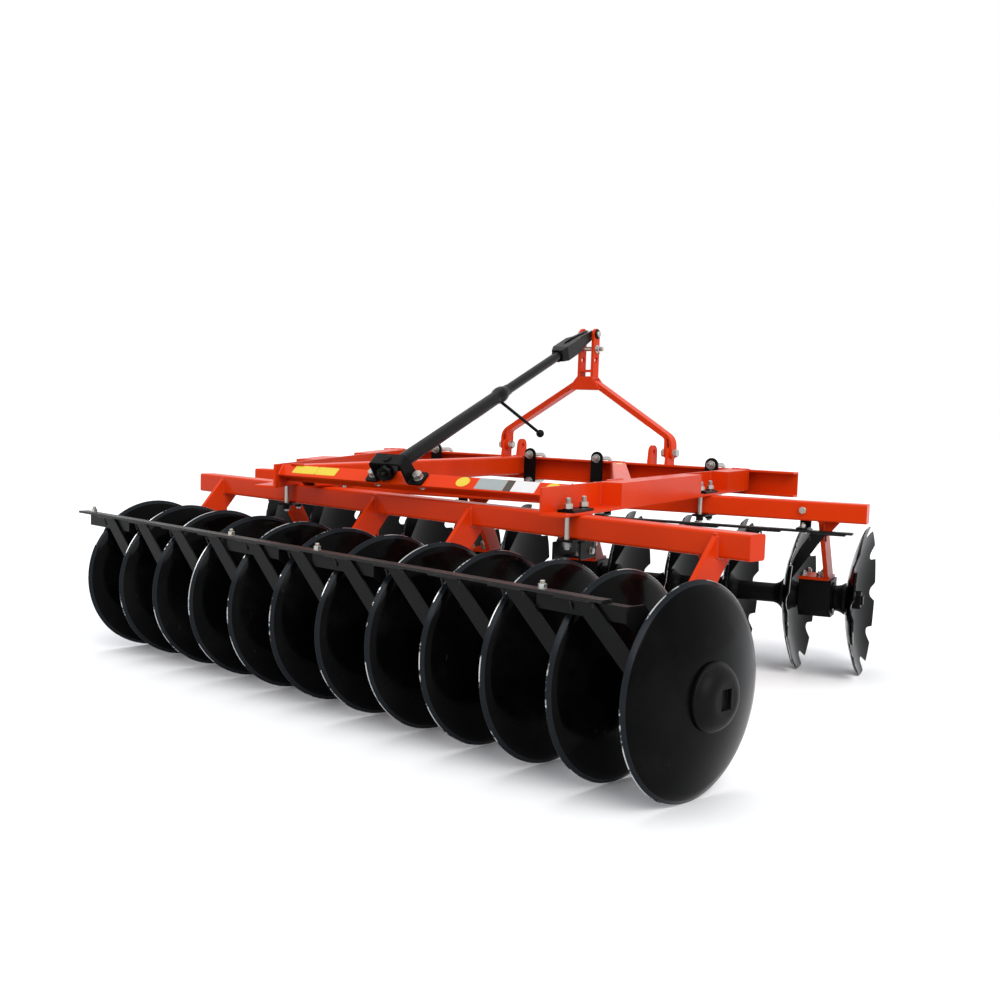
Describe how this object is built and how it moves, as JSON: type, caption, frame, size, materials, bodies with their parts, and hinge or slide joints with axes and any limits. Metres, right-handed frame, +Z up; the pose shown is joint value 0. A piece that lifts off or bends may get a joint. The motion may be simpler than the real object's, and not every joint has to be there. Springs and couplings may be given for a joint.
{
  "type": "disc harrow",
  "caption": "Tractor-mounted offset disc harrow: notched front and plain rear disc gangs under a welded frame with a three-point hitch, brace and scrapers.",
  "frame": {"origin": "on the ground under the middle of the machine's box", "axes": "+Z up, +Y forward towards the tractor, +X to the machine's right"},
  "size_m": [2.9102, 2.4278, 1.3188],
  "materials": {
    "orange_paint": "glossy orange-red paint",
    "black_paint": "semi-gloss black paint",
    "disc_black": "semi-gloss black paint over rolled steel",
    "cast_black": "black paint over cast iron",
    "zinc": "bright zinc plate",
    "rail_steel": "thin worn black paint"
  },
  "bodies": {
    "frame": {"bearing_housings_front": "cast_black", "bearing_housings_rear": "cast_black", "brace_bracket": "black_paint", "brace_handle": "black_paint", "brace_rod": "black_paint", "brace_tube_lower": "black_paint", "brace_upper": "black_paint", "channel_straps": "black_paint", "clamp_plates": "black_paint", "clamp_studs": "zinc", "diagonal_member": "orange_paint", "front_channel": "orange_paint", "gang_beam_front": "orange_paint", "gang_beam_rear": "orange_paint", "gang_legs_front": "orange_paint", "gang_legs_rear": "orange_paint", "hitch_bar": "orange_paint", "hitch_lugs": "orange_paint", "hitch_pins": "zinc", "inner_member": "orange_paint", "mast_arms": "orange_paint", "mast_gussets": "orange_paint", "mast_posts": "orange_paint", "rear_cross_member": "orange_paint", "scraper_blades_front": "black_paint", "scraper_blades_rear": "black_paint", "scraper_hangers_front": "black_paint", "scraper_rail_front": "rail_steel", "scraper_rail_rear": "rail_steel", "scraper_stays_rear": "black_paint", "side_member_left": "orange_paint", "side_member_right": "orange_paint", "u_bolts": "zinc"},
    "gang_rear_left": {"discs_rear_left": "disc_black", "spools_rear_left": "cast_black", "axle_rear_left": "cast_black"},
    "gang_rear_right": {"discs_rear_right": "disc_black", "spools_rear_right": "cast_black", "axle_rear_right": "cast_black"},
    "gang_front_left": {"discs_front_left": "disc_black", "spools_front_left": "cast_black", "axle_front_left": "cast_black"},
    "gang_front_right": {"discs_front_right": "disc_black", "spools_front_right": "cast_black", "axle_front_right": "cast_black"}
  },
  "joints": [
    {"name": "gang_rear_left_spin", "type": "hinge", "parent": "frame", "child": "gang_rear_left", "pos_m": [0.09383, -0.70813, 0.28], "axis": [0.9836, -0.1805, 0], "continuous": true},
    {"name": "gang_rear_right_spin", "type": "hinge", "parent": "frame", "child": "gang_rear_right", "pos_m": [0.09383, -0.70813, 0.28], "axis": [0.9836, -0.1805, 0], "continuous": true},
    {"name": "gang_front_left_spin", "type": "hinge", "parent": "frame", "child": "gang_front_left", "pos_m": [-0.09417, 0.69487, 0.28], "axis": [0.9833, 0.1822, 0], "continuous": true},
    {"name": "gang_front_right_spin", "type": "hinge", "parent": "frame", "child": "gang_front_right", "pos_m": [-0.09417, 0.69487, 0.28], "axis": [0.9833, 0.1822, 0], "continuous": true}
  ]
}
